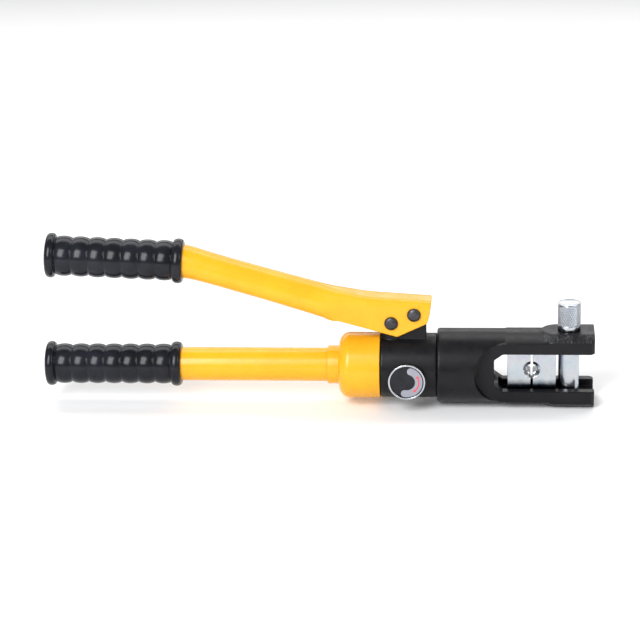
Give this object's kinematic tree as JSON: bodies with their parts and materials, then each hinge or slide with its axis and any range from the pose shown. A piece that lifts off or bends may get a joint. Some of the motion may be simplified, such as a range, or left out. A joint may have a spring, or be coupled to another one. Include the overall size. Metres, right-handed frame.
{
  "type": "hydraulic hand crimping tool",
  "caption": "Hand-pumped hydraulic crimping tool: two gripped handles, a pump body with release knob, and an open fork head with hexagonal dies and a retaining pin.",
  "frame": {"origin": "centre of the ram's front face, with the ram fully back", "axes": "+X along the ram's axis towards the open end of the fork head, +Z towards the moving handle, +Y away from the release knob"},
  "size_m": [0.4915, 0.0699, 0.1569],
  "materials": {
    "black_enamel": "satin",
    "yellow_enamel": "gloss",
    "zinc_plate": "satin",
    "ram_steel": "ground",
    "spring_steel": "satin",
    "dark_steel": "phosphated",
    "brass": "turned",
    "seal_rubber": "matte",
    "grip_vinyl": "gloss",
    "knob_charcoal": "satin",
    "label_grey": "satin",
    "white_plastic": "matte"
  },
  "bodies": {
    "tool_body": {"fork_head": "black_enamel", "head_lock_screw": "dark_steel", "pump_body": "black_enamel", "gland_nut": "dark_steel", "plunger_seal": "seal_rubber", "suction_seat": "brass", "suction_ball": "ram_steel", "suction_spring": "spring_steel", "delivery_seat": "brass", "delivery_ball": "ram_steel", "delivery_spring": "spring_steel", "relief_ball": "ram_steel", "relief_spring": "spring_steel", "relief_screw": "dark_steel", "release_ball": "ram_steel", "return_spring": "spring_steel", "end_cap": "yellow_enamel", "fixed_handle_tube": "yellow_enamel", "fixed_handle_grip": "grip_vinyl", "oil_bladder": "seal_rubber", "bladder_clip": "zinc_plate", "bladder_plug": "brass"},
    "ram": {"ram_piston": "ram_steel", "ram_seal": "seal_rubber", "ram_backup_ring": "white_plastic"},
    "moving_die": {"moving_die": "zinc_plate"},
    "anvil_die": {"anvil_die": "zinc_plate"},
    "retaining_pin": {"retaining_pin": "zinc_plate", "pin_detent_ball": "ram_steel", "pin_detent_spring": "spring_steel"},
    "lever": {"lever": "yellow_enamel", "lever_grip": "grip_vinyl", "pivot_pin": "dark_steel", "pivot_clip": "spring_steel", "link_pin": "dark_steel", "link_clip": "spring_steel"},
    "plunger": {"pump_plunger": "ram_steel"},
    "release_knob": {"release_knob": "knob_charcoal", "knob_rim": "zinc_plate", "knob_label": "label_grey", "release_stem": "ram_steel"}
  },
  "joints": [
    {"name": "pump_handle", "type": "hinge", "parent": "tool_body", "child": "lever", "pos_m": [-0.0707, 0, 0.0521], "axis": [0, 1, 0], "range_deg": [-8, 50]},
    {"name": "plunger_slide", "type": "slide", "parent": "tool_body", "child": "plunger", "axis": [0, 0, 1], "range_m": [-0.0031, 0.0186]},
    {"name": "ram_slide", "type": "slide", "parent": "tool_body", "child": "ram", "axis": [1, 0, 0], "range_m": [0, 0.0152], "stiffness_N_per_m": 3000, "springref_m": -0.01, "deforming": ["return_spring"]},
    {"name": "moving_die_slide", "type": "slide", "parent": "tool_body", "child": "moving_die", "axis": [1, 0, 0], "range_m": [0, 0.0036]},
    {"name": "anvil_die_slide", "type": "slide", "parent": "tool_body", "child": "anvil_die", "axis": [1, 0, 0], "range_m": [0, 0.0019]},
    {"name": "pin_pull", "type": "slide", "parent": "tool_body", "child": "retaining_pin", "axis": [0, 0, 1], "range_m": [0, 0.072]},
    {"name": "release_turn", "type": "hinge", "parent": "tool_body", "child": "release_knob", "pos_m": [-0.0768, 0, -0.0029], "axis": [0, -1, 0], "range_deg": [0, 90]}
  ],
  "couplings": [
    {"joint": "plunger_slide", "follows": "pump_handle", "m_per_rad": 0.02097},
    {"joint": "moving_die_slide", "follows": "ram_slide", "ratio": 0.2303},
    {"joint": "anvil_die_slide", "follows": "ram_slide", "ratio": 0.1184}
  ]
}
